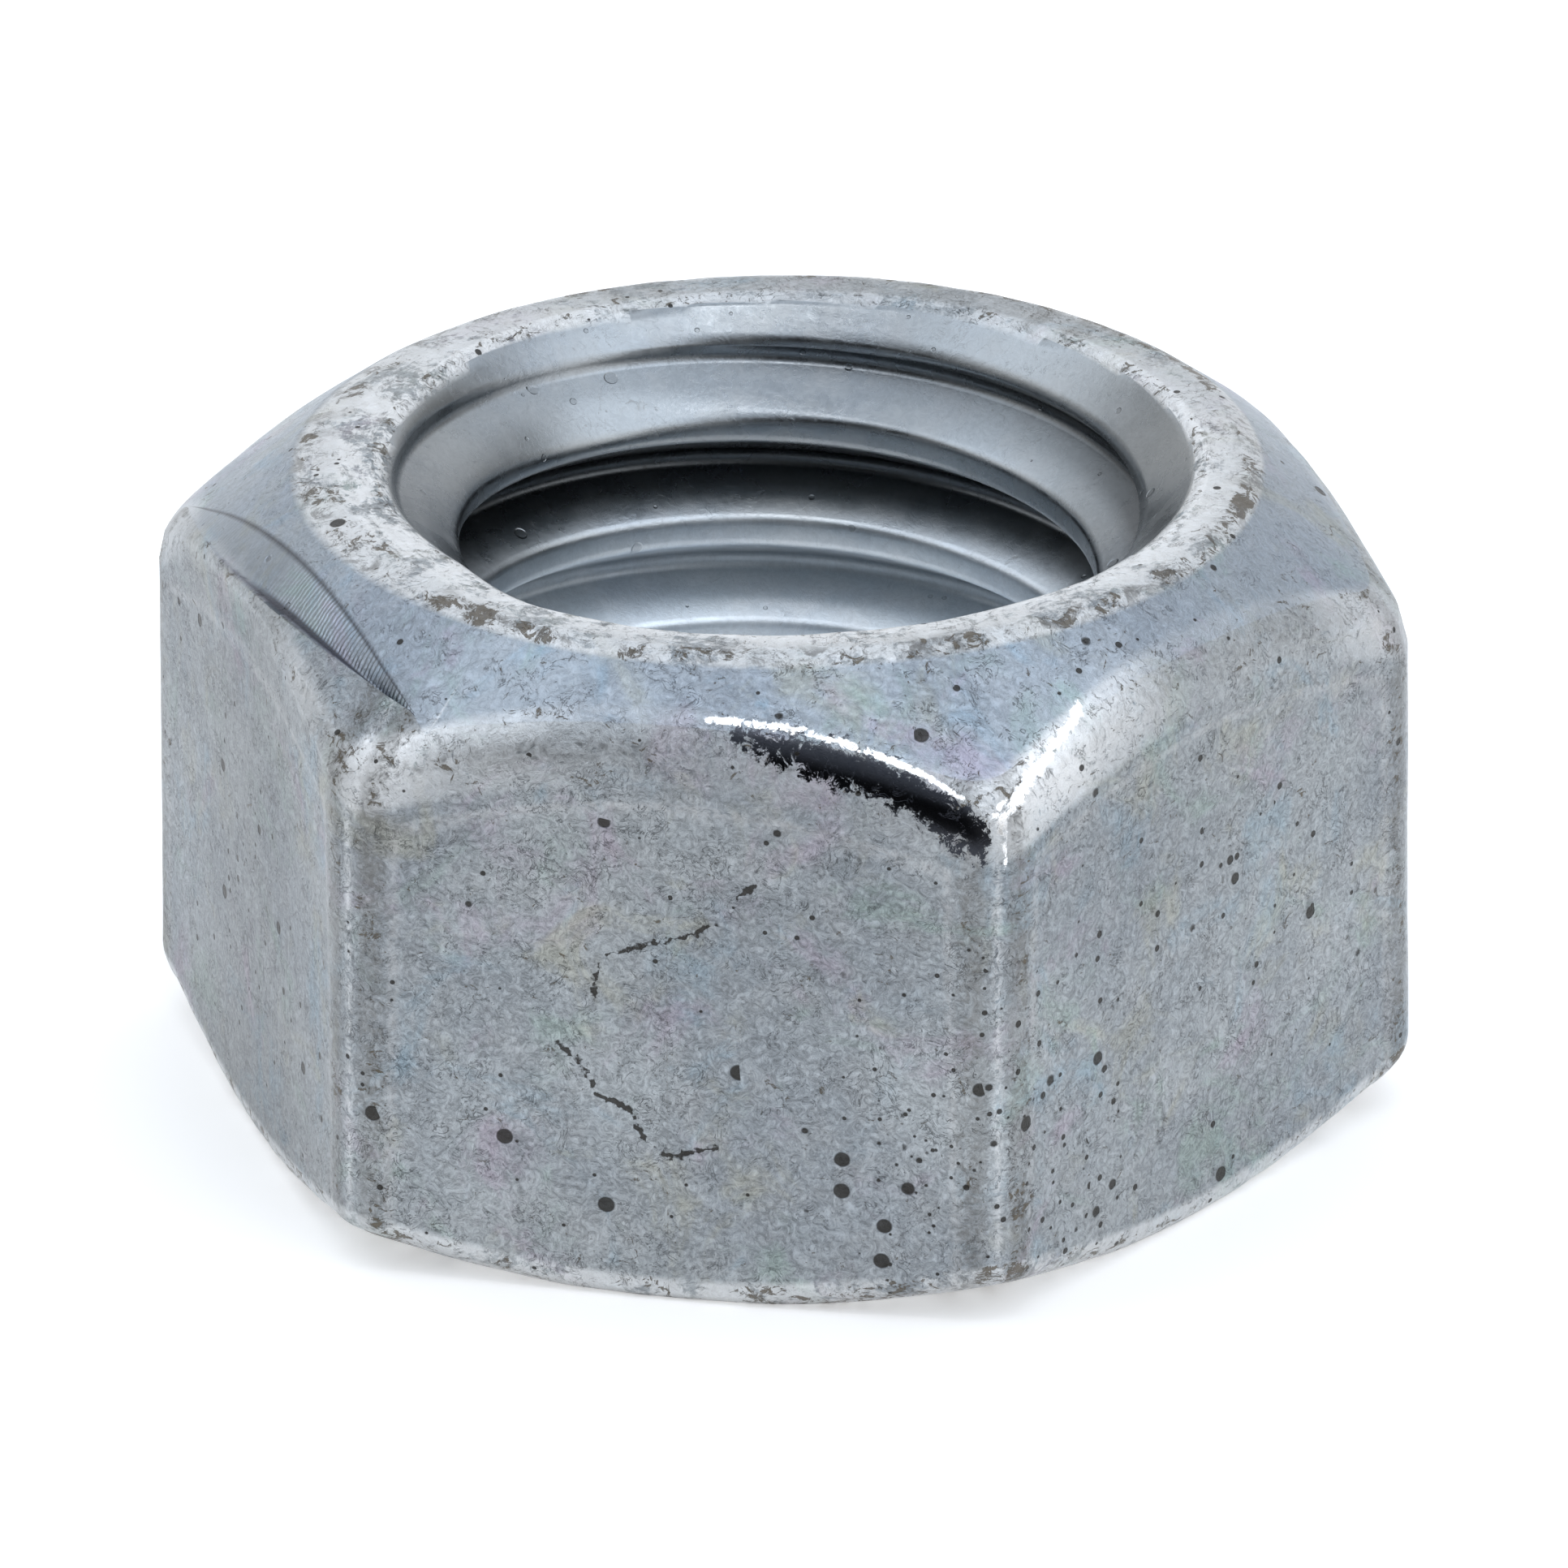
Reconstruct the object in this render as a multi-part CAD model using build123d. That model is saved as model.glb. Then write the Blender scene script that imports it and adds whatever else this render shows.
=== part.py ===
from build123d import *
from build123d.topology import SkipClean
import math
import os

# Hex nut, 1/2 in - 13 UNC, cold-forged in one piece.
# Millimetres. Origin: centre of the bottom bearing face. +Z runs up the thread axis, flats face +Y and -Y.

INCH = 25.4

# --- driving sizes ---
across_flats = 0.75 * INCH
height = 0.4375 * INCH
thread_major_diameter = 0.5 * INCH
pitch = INCH / 13

# --- hexagon ---
corner_radius = 0.042 * across_flats         # upright corners, rounded in the forging die
edge_radius = 0.026 * across_flats           # soft edge between the flats and the chamfers

# --- chamfers turned on both ends ---
top_land_diameter = 0.836 * across_flats     # flat ring left on the top face
top_chamfer_angle = 36.5                     # degrees below the top face
bottom_land_diameter = 0.985 * across_flats  # flat ring left on the bottom face
bottom_chamfer_angle = 29.0                  # degrees above the bottom face

# --- threaded bore ---
bore_diameter = thread_major_diameter - 1.0154 * pitch  # tap drill, 27/64 in at the nominal size
thread_half_angle = 30.0                                # unified thread form, 60 degrees included
root_clearance = 0.03 * pitch                           # radial gap outside the bolt's crests
root_flat = pitch / 8                                   # width of the groove floor
countersink_share = 0.394                               # part of the ring between thread and top land
countersink_diameter = thread_major_diameter + countersink_share * (top_land_diameter - thread_major_diameter)
countersink_angle = 45.0                                # degrees below the face
groove_height = 0.949 * pitch                           # height of a groove's middle above the base at +X
bore_quarters = 4                                       # seams kept in the bore's wall

# --- lens-shaped die mark in the top chamfer ---
mark_direction = 210.0                                  # centre of the marked flat, degrees from +X
mark_turn = 4.9                                         # its straight side is not quite parallel to the flat
mark_chord = 0.54 * across_flats
mark_width = 0.041 * across_flats
mark_chord_distance = 0.4465 * across_flats             # straight side to the nut's axis
mark_shift = 0.015 * across_flats                       # along the flat, towards the next corner
mark_depth = 0.008 * across_flats


def cone_drop(distance, angle):
    """Height lost over a radial distance on a cone that slopes by the angle."""
    return distance * math.tan(math.radians(angle))


def hexagon_prism():
    """The upright six-sided bar with rounded corners."""
    corner_distance = across_flats / math.sqrt(3)
    corners = [
        (corner_distance * math.cos(math.radians(turn)), corner_distance * math.sin(math.radians(turn)))
        for turn in range(0, 360, 60)
    ]
    section = make_face(Polyline(*corners, close=True))
    section = fillet(section.vertices(), corner_radius)
    return extrude(section, height)


def turned_envelope():
    """The turned body that cuts both chamfers: a cylinder with a cone at each end."""
    reach = across_flats
    top_land = top_land_diameter / 2
    bottom_land = bottom_land_diameter / 2
    outline = Polyline(
        (0, 0, 0),
        (bottom_land, 0, 0),
        (reach, 0, cone_drop(reach - bottom_land, bottom_chamfer_angle)),
        (reach, 0, height - cone_drop(reach - top_land, top_chamfer_angle)),
        (top_land, 0, height),
        (0, 0, height),
        close=True,
    )
    return revolve(make_face(outline), Axis.Z)


def is_chamfer_edge(edge):
    """True for the edges where a chamfer meets the sides."""
    box = edge.bounding_box()
    level = box.size.Z < 1e-4 and (abs(box.min.Z) < 1e-4 or abs(box.min.Z - height) < 1e-4)
    upright = box.size.Z > height / 3
    return not level and not upright


def forged_blank():
    """The hexagon with its chamfers and softened edges, still without a hole."""
    blank = hexagon_prism() & turned_envelope()
    return fillet([edge for edge in blank.edges() if is_chamfer_edge(edge)], edge_radius)


def bore_tool():
    """Tap-drill cylinder drawn from quarter arcs, so that its wall keeps four seams."""
    radius = bore_diameter / 2
    quarter = 360 / bore_quarters
    arcs = [CenterArc((0, 0), radius, index * quarter, quarter) for index in range(bore_quarters)]
    return Pos(0, 0, -height) * extrude(make_face(Wire(arcs)), 3 * height, clean=False)


def countersink_tool():
    """Cone that opens the top of the bore."""
    wide = countersink_diameter / 2
    outline = Polyline((0, 0, 0), (wide, 0, 0), (0, 0, -cone_drop(wide, countersink_angle)), close=True)
    return Pos(0, 0, height) * revolve(make_face(outline), Axis.Z)


def groove_turn(base, corners):
    """One right-handed turn of the groove, whose section's corners are (radius, height) pairs."""
    edges = [(Pos(0, 0, base + level) * Helix(pitch, pitch, radius)).edges()[0] for radius, level in corners]
    sides = [
        Face.make_surface_from_curves(edge, following)
        for edge, following in zip(edges, edges[1:] + edges[:1])
    ]
    ends = []
    for start in (base, base + pitch):
        outline = Polyline(*[(radius, 0, start + level) for radius, level in corners], close=True)
        ends.append(make_face(outline).faces()[0])
    return Solid(Shell(sides + ends))


def thread_tools():
    """The helical groove turn by turn, running out past both faces."""
    inner = bore_diameter / 2 - 0.05 * pitch
    outer = thread_major_diameter / 2 + root_clearance
    half_floor = root_flat / 2
    half_mouth = half_floor + cone_drop(outer - inner, thread_half_angle)
    corners = [(inner, -half_mouth), (outer, -half_floor), (outer, half_floor), (inner, half_mouth)]
    start = groove_height - 2 * pitch
    turns = math.ceil((height - start) / pitch) + 1
    return [groove_turn(start + index * pitch, corners) for index in range(turns)]


def die_mark_tool():
    """Lens-shaped slug that sinks a shallow mark into the top chamfer above one flat."""
    half_chord = mark_chord / 2
    start = (0, -half_chord)
    middle = (mark_width, 0)
    end = (0, half_chord)
    lens = make_face(ThreePointArc(start, middle, end) + Line(end, start))
    place = Rot(0, 0, mark_direction) * Pos(mark_chord_distance, mark_shift, 0) * Rot(0, 0, mark_turn)
    slug = place * extrude(lens, 2 * height)
    reach = across_flats
    land = top_land_diameter / 2
    sunk = height - mark_depth / math.cos(math.radians(top_chamfer_angle))
    core = revolve(
        make_face(
            Polyline(
                (0, 0, -height),
                (reach, 0, -height),
                (reach, 0, sunk - cone_drop(reach - land, top_chamfer_angle)),
                (0, 0, sunk + cone_drop(land, top_chamfer_angle)),
                close=True,
            )
        ),
        Axis.Z,
    )
    return slug - core


def nut_body():
    """The whole nut: one forged and tapped piece of steel."""
    top_sink = countersink_tool()
    bottom_sink = mirror(Pos(0, 0, -height) * top_sink, about=Plane.XY)
    body = forged_blank() - die_mark_tool()
    with SkipClean():
        body = body - bore_tool() - top_sink - bottom_sink
        body = body - thread_tools()
    return body


def export_parts():
    os.makedirs("parts", exist_ok=True)
    body = nut_body()
    solids = body.solids()
    if len(solids) != 1:
        raise ValueError(f"the nut came out as {len(solids)} solids")
    solid = solids[0]
    solid.label = "nut_body"
    export_step(solid, "parts/nut_body.step")


export_parts()
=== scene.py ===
import math

import bpy
import numpy as np
from mathutils import Matrix, Vector


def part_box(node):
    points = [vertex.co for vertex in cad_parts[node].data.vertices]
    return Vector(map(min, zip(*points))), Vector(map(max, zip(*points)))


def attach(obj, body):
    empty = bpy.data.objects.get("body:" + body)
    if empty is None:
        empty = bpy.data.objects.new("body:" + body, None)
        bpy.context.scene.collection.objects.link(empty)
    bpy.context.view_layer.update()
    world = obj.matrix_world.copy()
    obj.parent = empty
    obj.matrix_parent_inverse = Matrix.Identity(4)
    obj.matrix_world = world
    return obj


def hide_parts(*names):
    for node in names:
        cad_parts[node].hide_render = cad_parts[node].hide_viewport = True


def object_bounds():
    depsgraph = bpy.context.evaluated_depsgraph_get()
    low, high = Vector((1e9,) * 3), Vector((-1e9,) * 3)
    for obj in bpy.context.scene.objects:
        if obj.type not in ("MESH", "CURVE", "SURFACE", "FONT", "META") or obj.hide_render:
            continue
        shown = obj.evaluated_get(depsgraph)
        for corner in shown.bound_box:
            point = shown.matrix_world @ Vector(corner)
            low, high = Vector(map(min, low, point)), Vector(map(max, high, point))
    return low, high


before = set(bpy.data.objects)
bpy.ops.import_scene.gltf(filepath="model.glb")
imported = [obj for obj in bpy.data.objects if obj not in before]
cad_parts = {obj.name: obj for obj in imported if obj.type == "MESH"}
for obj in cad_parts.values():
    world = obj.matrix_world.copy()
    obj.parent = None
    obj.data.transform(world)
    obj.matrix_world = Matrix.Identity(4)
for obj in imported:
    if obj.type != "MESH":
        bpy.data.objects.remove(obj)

# Looks of the zinc-plated hex nut. Lengths are millimetres until the mesh is made, then metres.
# Directions round the axis are degrees from +X in the tables and radians in the functions.

MM = 0.001
NODE = "nut_body"

cad_low, cad_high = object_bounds()
node_low, node_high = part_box(NODE)
ACROSS_FLATS = (node_high.y - node_low.y) / MM
HEIGHT = (node_high.z - node_low.z) / MM

# --- hexagon ---
TAPER = 0.0155               # the flats lean in by this share of their width from base to top
CORNER_LOW = 0.80            # corner radius at the base
CORNER_HIGH = 1.20           # corner radius at the top
SIXTH = math.radians(60)
PANEL_DEPTH = 0.034          # the flats are a little hollow
SIDE_ROWS = 46

# --- chamfers and rims ---
TOP_LAND = 7.93
TOP_SLOPE = math.tan(math.radians(36.5))
LAND_SHOULDER = TOP_LAND + 0.26  # where the chamfer ends at the top face's soft outer edge
BOTTOM_LAND = 9.40
BOTTOM_SLOPE = math.tan(math.radians(28.5))
EDGE_ON_SIDE = 0.62          # how far the soft edge under the top chamfer reaches down the flat
EDGE_ON_CONE = 0.80          # and up the chamfer
FOOT_ON_SIDE = 0.42
FOOT_ON_CONE = 0.55

# --- bore ---
PITCH = 25.4 / 13
CREST = 5.358
ROOT = 6.41
FLANK = math.radians(60)     # the flanks' slant from the axis
SINK = 7.0                   # rim of the countersinks
SINK_LIP = 0.16              # rounding between countersink and face
LIP_LEG = SINK_LIP * math.sqrt(0.5)
GROOVE_LEVEL = 0.949 * PITCH  # middle of a groove above the base at +X
THREAD_FROM, THREAD_TO = -2, 7

# --- lens-shaped die mark over the flat that faces 210 degrees ---
MARK_FACING = math.radians(210)
MARK_REACH = math.radians(36)
MARK_TILT = 0.086            # the straight side's slant
MARK_LINE = 8.50             # the straight side's distance from the axis
MARK_FROM, MARK_TO = -4.80, 5.25
MARK_SWELL = 0.80            # how far the curved side bulges past the straight one
WALL_WIDTH = 0.20            # of the small wall along the curved side
WALL_DEPTH = 0.17
SHALLOW = 0.03               # depth of the mark's floor away from the wall

# --- random relief: seed and wavelength ---
BROAD_WAVES = (3, 7.0)
MIDDLE_WAVES = (5, 2.2)
FINE_WAVES = (8, 0.8)
BROAD_HEIGHT, MIDDLE_HEIGHT, FINE_HEIGHT = 0.020, 0.007, 0.007
SHRINK = 0.02                # keeps the relief's crests inside the solid

# --- unwrapped surface: two long strips for the outside and a third for the bore ---
UV_SPAN = 54
UV_MARGIN = 1
STRIP_LENGTH = 33
SECOND_STRIP = 18.5
BORE_STRIP, BORE_STRIP_WIDTH = 39, 14

# --- wear, and the painted highlights, reflections and shade ---
# the "foot" and "foot_edge" entries, here and two lines down, are rubbed zinc and also a painted reflection
# of the white floor
WORN = {"land_edge": 0.9, "lip": 0.8, "foot_edge": 0.9, "foot": 0.7}
WHITE_LAND = {"land": 1.0, "land_edge": 0.5, "lip": 1.0}
FOOT_WEAR_AND_REFLECTION = {"foot": 1.0, "foot_edge": 0.6}
# hairline laps in the front flat, as (x, z)
LAPS = (
    ((-1.95, 4.62), (-1.60, 4.35), (-1.35, 3.98), (-1.28, 3.70), (-0.95, 3.62), (-0.63, 3.43),
     (-0.50, 3.05), (-0.22, 2.78), (0.05, 2.66), (0.30, 2.80), (0.75, 2.90)),
    ((-1.25, 5.45), (-1.18, 5.95), (-1.02, 6.25), (-0.45, 6.42), (-0.05, 6.58), (0.40, 6.72), (0.75, 6.95)),
    ((1.05, 7.30), (1.18, 7.52), (1.42, 7.70)),
)
LAPS_UP_TO_Y = -8.9          # the laps are only in the flat in front of this
# rubbed bright stretches of the top edge, those at -55 and -43 also a painted highlight: direction, spread,
# strength
EDGE_WEAR_AND_HIGHLIGHT = ((-55, 7, 1.0), (-43, 9, 0.55), (-118, 5, 0.9), (-108, 8, 0.4), (-132, 9, 0.5), (-5, 8, 0.6),
               (58, 9, 0.7), (120, 8, 0.8), (165, 9, 0.5), (-178, 7, 0.5))
# painted highlights (glints) on the top edge: half width, then (direction, distance below the chamfer's end)
GLINTS = (
    (0.060, ((-86.5, 0.10), (-81, 0.07), (-77, 0.04), (-69, 0.07), (-65, 0.11), (-62.2, 0.24))),
    (0.16, ((-59.4, 0.44), (-57.4, 0.34), (-54.8, 0.24))),
    (0.10, ((-54.8, 0.24), (-51.0, 0.17), (-47.5, 0.06))),
    (0.075, ((-59.3, 0.42), (-59.3, 0.85))),
    (0.040, ((-59.3, 0.85), (-59.3, 1.35))),
)
GLINT_RADIUS = 9.8           # turns the glints' directions into lengths
# painted dark reflection: the black band under the first glint: direction, where it starts and ends below the
# chamfer's end
BAND = ((-85, 0.16, 0.20), (-80, 0.08, 0.50), (-76, 0.05, 0.64), (-70, 0.07, 0.68), (-66, 0.11, 0.84),
        (-64, 0.18, 1.06), (-61, 0.38, 1.22), (-60, 0.60, 0.70))
OFF_BAND = -0.5
# painted shade: some flats darkened to even out the light that falls on them: direction, spread, strength
SHADED_FLATS = ((-150, 26, 1.0), (30, 24, 0.6), (-90, 24, 0.25), (-28, 26, 0.25))
# greyer stretches of the top face, and of its outer half
GREY_LAND = ((84, 55, 1.0),)
GREY_LAND_OUT = ((-79, 40, 1.0), (10, 30, 0.4))
# pitted areas: direction, height, spread round, spread up, strength
PITTED = ((-65, 3.4, 7, 2.6, 1.2), (-52, 2.0, 7, 1.8, 1.1), (-84, 7.6, 9, 1.6, 0.35),
          (-30, 6.0, 16, 3.0, 0.25), (45, 4.0, 12, 3.0, 0.7), (110, 6.0, 12, 2.5, 0.5),
          (165, 3.0, 9, 2.5, 0.6), (-150, 4.0, 14, 3.0, 0.2))
FAR = 3.0                    # stands for "nowhere near" in the laps' distances


# --- curves ---

def smoothstep(low, high, value):
    t = np.clip((value - low) / (high - low), 0, 1)
    return t * t * (3 - 2 * t)


def smooth_max(a, b, width):
    h = np.clip(width - np.abs(a - b), 0, None) / width
    return np.maximum(a, b) + h * h * width / 4


def turn_from(angle, facing):
    """Signed angle from a direction, within half a turn."""
    return (angle - facing + math.pi) % (2 * math.pi) - math.pi


def arc_point(start, corner, end, t):
    """A point of the quadratic curve that leaves and arrives along the corner's two sides."""
    return start * (1 - t) ** 2 + 2 * t * (1 - t) * corner + t * t * end


def bend(start, corner, end, count):
    """Rows of a soft bend between two runs, without its two ends."""
    inner = np.linspace(0, 1, count + 2)[1:-1]
    return [[arc_point(a, b, c, t) for a, b, c in zip(start, corner, end)] for t in inner]


def run(start, end, count):
    """Rows of a straight run, with its start and without its end."""
    return [[a + (b - a) * t for a, b in zip(start, end)] for t in np.linspace(0, 1, count, endpoint=False)]


def tagged(rows, kind):
    return [(radius, level, kind) for radius, level in rows]


class Waves:
    """Smooth random bumps in space: a sum of sine waves with seeded directions."""

    def __init__(self, seed, wavelength, count=14):
        rng = np.random.default_rng(seed)
        way = rng.normal(size=(count, 3))
        way /= np.linalg.norm(way, axis=1)[:, None]
        self.way = way * (2 * np.pi / (wavelength * rng.uniform(0.7, 1.5, count)))[:, None]
        self.phase = rng.uniform(0, 2 * np.pi, count)

    def __call__(self, points):
        return np.sin(points @ self.way.T + self.phase).mean(-1) * 2.2


def patches(turn, spots):
    """Soft patches round the axis, each with a direction, a spread and a strength."""
    total = np.zeros_like(turn)
    for direction, spread, strength in spots:
        away = (turn - direction + 180) % 360 - 180
        total += strength * np.exp(-((away / spread) ** 2))
    return np.clip(total, 0, 1)


def line_distance(points, line):
    """Signed distance of points from an open line, and how far past its ends they lie."""
    nearest = np.full(len(points), np.inf)
    signed, beyond = np.zeros(len(points)), np.zeros(len(points))
    line = np.array(line, float)
    for index, (a, b) in enumerate(zip(line, line[1:])):
        length = np.linalg.norm(b - a)
        way = (b - a) / length
        reach = points - a
        along = reach @ way
        off = reach @ np.array([-way[1], way[0]])
        outside = np.maximum(-along, along - length)
        distance = np.hypot(off, np.clip(outside, 0, None))
        before = (index == 0) & (along < 0)
        after = (index == len(line) - 2) & (along > length)
        past = np.where(before, -along, np.where(after, along - length, 0))
        side = np.where(past > 0, off, np.sign(off + 1e-12) * distance)
        better = distance < nearest
        nearest = np.where(better, distance, nearest)
        signed, beyond = np.where(better, side, signed), np.where(better, past, beyond)
    return np.clip(signed, -FAR, FAR), np.clip(beyond, 0, FAR)


# --- hexagon and chamfers ---

def graded_angles():
    """Directions round the axis: close together at the corners and on the three front flats."""
    angles = []
    for sector in range(6):
        start = -180 + 60 * sector
        corner, middle = (14, 72) if sector < 3 else (9, 32)
        angles += list(np.linspace(start, start + 6, corner, endpoint=False))
        angles += list(np.linspace(start + 6, start + 54, middle, endpoint=False))
        angles += list(np.linspace(start + 54, start + 60, corner, endpoint=False))
    return np.radians(np.array(angles))


def section(level):
    """Distance of the flats from the axis, and the corners' radius."""
    share = np.clip(level / HEIGHT, 0, 1)
    return ACROSS_FLATS / 2 * (1 - TAPER * share), CORNER_LOW + (CORNER_HIGH - CORNER_LOW) * share


def hexagon(angle, level):
    """Distance of the side from the axis."""
    apothem, corner = section(level)
    phi = np.abs(angle % SIXTH - SIXTH / 2)
    flat = apothem / np.cos(phi)
    centre = (apothem - corner) / math.cos(SIXTH / 2)
    psi = SIXTH / 2 - phi
    arc = centre * np.cos(psi) + np.sqrt(np.clip(corner**2 - (centre * np.sin(psi)) ** 2, 0, None))
    tangent = np.arctan((apothem - corner) * math.tan(SIXTH / 2) / apothem)
    return np.where(phi < tangent, flat, arc)


def meeting_level(angle, land, slope, top):
    """Height at which a chamfer meets the side."""
    level = np.full_like(angle, HEIGHT if top else 0.0)
    for _ in range(12):
        drop = np.clip(hexagon(angle, level) - land, 0, None) * slope
        level = HEIGHT - drop if top else drop
    return level


def cone_height(radius):
    """Height of the top chamfer."""
    return HEIGHT - (radius - TOP_LAND) * TOP_SLOPE


def edge_softness(angle):
    """Share of the full rounding under the top chamfer: the die mark has pinched the edge beside it."""
    delta = np.degrees(turn_from(angle, MARK_FACING))
    beside = smoothstep(-27, -19, delta) * (1 - smoothstep(27, 31, delta))
    front = np.exp(-((np.degrees(angle) + 90) / 22) ** 2)
    return 1 - 0.6 * beside - 0.05 * front


def top_side(angle):
    """Radius and height at which the side ends and the soft edge under the top chamfer starts."""
    meet = meeting_level(angle, TOP_LAND, TOP_SLOPE, True)
    level = meet - EDGE_ON_SIDE * edge_softness(angle)
    return hexagon(angle, level), level


def chamfer_end(angle):
    """Radius at which the top chamfer ends and its soft edge starts."""
    side, _ = top_side(angle)
    return side - EDGE_ON_CONE * edge_softness(angle) * math.cos(math.atan(TOP_SLOPE))


def top_height(radius, angle):
    """Height of the top chamfer and its soft edge, as a function of the distance from the axis."""
    side, side_level = top_side(angle)
    cone_radius = chamfer_end(angle)
    t = 1 - np.sqrt(np.clip((side - radius) / (side - cone_radius), 0, 1))
    soft_part = arc_point(cone_height(cone_radius), cone_height(side), side_level, t)
    return np.where(radius > cone_radius, soft_part, cone_height(radius))


def panel_relief(angle, level):
    """The flats' shallow sunk panel: 1 inside it, 0 beside the corners and under the chamfer."""
    apothem, corner = section(level)
    phi = np.abs(angle % SIXTH - SIXTH / 2)
    beside = (apothem - corner) * math.tan(SIXTH / 2) - apothem * np.tan(phi) - 0.28
    below = meeting_level(angle, TOP_LAND, TOP_SLOPE, True) - level - 1.12
    return smoothstep(-0.14, 0.12, np.minimum(beside, below))


# --- die mark ---

def lens(angle):
    """Distances of the mark's straight and curved sides from the axis, how far along it a direction
    lies, and how far past its ends."""
    delta = turn_from(angle, MARK_FACING)
    middle, half = (MARK_FROM + MARK_TO) / 2, (MARK_TO - MARK_FROM) / 2
    safe = np.clip(delta, -MARK_REACH, MARK_REACH)
    straight = MARK_LINE / (np.cos(safe) + MARK_TILT * np.sin(safe))
    curved = straight.copy()
    for _ in range(12):
        along = curved * np.sin(safe)
        swell = MARK_SWELL * np.clip(1 - ((along - middle) / half) ** 2, 0, None)
        curved = (MARK_LINE - MARK_TILT * along + swell) / np.cos(safe)
    along = np.where(np.abs(delta) < MARK_REACH, straight * np.sin(safe), np.sign(delta) * 50)
    past = np.maximum(np.clip(MARK_FROM - along, 0, None), np.clip(along - MARK_TO, 0, None))
    return straight, curved, along, past


def mark_depth(along, past):
    """How deep the mark is beside its curved side."""
    rise = 0.12 + 0.88 * smoothstep(-3.0, 1.6, along)
    ends = (1 - smoothstep(4.2, MARK_TO, along)) * smoothstep(MARK_FROM, -3.4, along)
    return WALL_DEPTH * rise * ends * (past <= 0)


# --- rows of the outside, from the bottom countersink up and over to the top one ---

def pinch(angle):
    """How much narrower the top rim is over the marked flat, where the blank was struck."""
    turn = np.degrees(angle) % 360
    return 0.40 * smoothstep(130, 180, turn) * (1 - smoothstep(226, 248, turn))


def sink_rim(angle, top):
    """Radius of a countersink's rim, a little off centre."""
    if top:
        wander = 0.05 * np.cos(angle + math.radians(95)) + 0.012 * np.sin(3 * angle + 1)
        return SINK + 0.10 + wander - pinch(angle)
    return SINK + 0.04 * np.cos(angle + 1.0)


def foot_rows(angle):
    """The bottom countersink's lip, the bearing face, its chamfer and the soft edge above it."""
    base = np.zeros_like(angle)
    rim = sink_rim(angle, False)
    lip, shelf = (rim - LIP_LEG, base + LIP_LEG), (rim + SINK_LIP, base)
    side_level = meeting_level(angle, BOTTOM_LAND, BOTTOM_SLOPE, False) + FOOT_ON_SIDE
    side = hexagon(angle, side_level)
    reach = FOOT_ON_CONE * math.cos(math.atan(BOTTOM_SLOPE))
    cone_radius = side - np.minimum(reach, 0.55 * (side - BOTTOM_LAND + 0.25))
    cone_level = np.clip(cone_radius - BOTTOM_LAND, 0, None) * BOTTOM_SLOPE
    cone = (cone_radius, cone_level)
    land = np.minimum(BOTTOM_LAND - 0.12, cone_radius - 0.05)
    land_bend = (land + 0.24 * (cone_radius - land), 0.10 * cone_level)
    corner = (side, np.clip(side - BOTTOM_LAND, 0, None) * BOTTOM_SLOPE)
    return (
        tagged([lip] + bend(lip, (rim, base), shelf, 2), "lip")
        + tagged(run(shelf, (land, base), 4) + [(land, base)], "face")
        + tagged(run(land_bend, cone, 4) + [cone], "foot")
        + tagged(bend(cone, corner, (side, side_level), 6), "foot_edge")
    )


def side_rows(angle):
    """The six flats and their corners."""
    start = meeting_level(angle, BOTTOM_LAND, BOTTOM_SLOPE, False) + FOOT_ON_SIDE
    _, end = top_side(angle)
    levels = [start + (end - start) * t for t in np.linspace(0, 1, SIDE_ROWS)]
    return tagged([(hexagon(angle, level), level) for level in levels], "side")


def chamfer_rows(angle):
    """The soft edge and the top chamfer, in rows that follow the die mark's two sides."""
    side, _ = top_side(angle)
    straight, curved, along, past = lens(angle)
    centre, gap = (curved + straight) / 2, np.maximum((curved - straight) / 2, 0.02)
    away = smoothstep(0, 2.2, past)
    centre = centre * (1 - away) + (TOP_LAND + 0.56 * (side - TOP_LAND)) * away
    gap = gap * (1 - away) + 0.2 * (side - TOP_LAND) * away
    low = np.minimum(centre + gap, side - 0.06)
    high = np.maximum(centre - gap, TOP_LAND + 0.3)
    depth = mark_depth(along, past)
    wall = np.minimum(WALL_WIDTH * (0.15 + depth / WALL_DEPTH), 0.6 * gap + 0.004)
    floor_start, floor_end = low - wall, high + np.minimum(0.05, 0.3 * gap)
    shallow = SHALLOW * np.minimum(depth / WALL_DEPTH * 1.8, 1) * (1 - smoothstep(0, 0.25, past))

    def on_top(radius, kind, sunk=0):
        return (radius, top_height(radius, angle) - sunk, kind)

    rows = [on_top(side + (low - side) * t * (2 - t), "edge") for t in np.linspace(0, 1, 9)[1:]]
    rows.append(on_top(low - 0.5 * wall, "wall", 0.55 * depth))
    for t in np.linspace(0, 1, 9):
        radius = floor_start + (floor_end - floor_start) * t
        sunk = depth * (1 - t) ** 1.3 + shallow
        rows.append((radius, np.minimum(cone_height(radius) - sunk, top_height(radius, angle)), "mark"))
    rows += [on_top(high + (LAND_SHOULDER - high) * t, "cone") for t in np.linspace(0, 1, 7)]
    return rows


def land_rows(angle):
    """The top face, its soft outer edge and the top countersink's lip."""
    top = np.full_like(angle, HEIGHT)
    rim = sink_rim(angle, True)
    start = (LAND_SHOULDER, top_height(LAND_SHOULDER, angle))
    edge = (TOP_LAND - 0.20 - pinch(angle), top)
    shelf = (rim + SINK_LIP, top)
    lip = (rim - LIP_LEG, top - LIP_LEG)
    return (
        tagged(bend(start, (TOP_LAND - 0.6 * pinch(angle), top), edge, 5), "land_edge")
        + tagged(run(edge, shelf, 4) + [shelf], "land")
        + tagged(bend(shelf, (rim, top), lip, 3) + [lip], "lip")
    )


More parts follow.
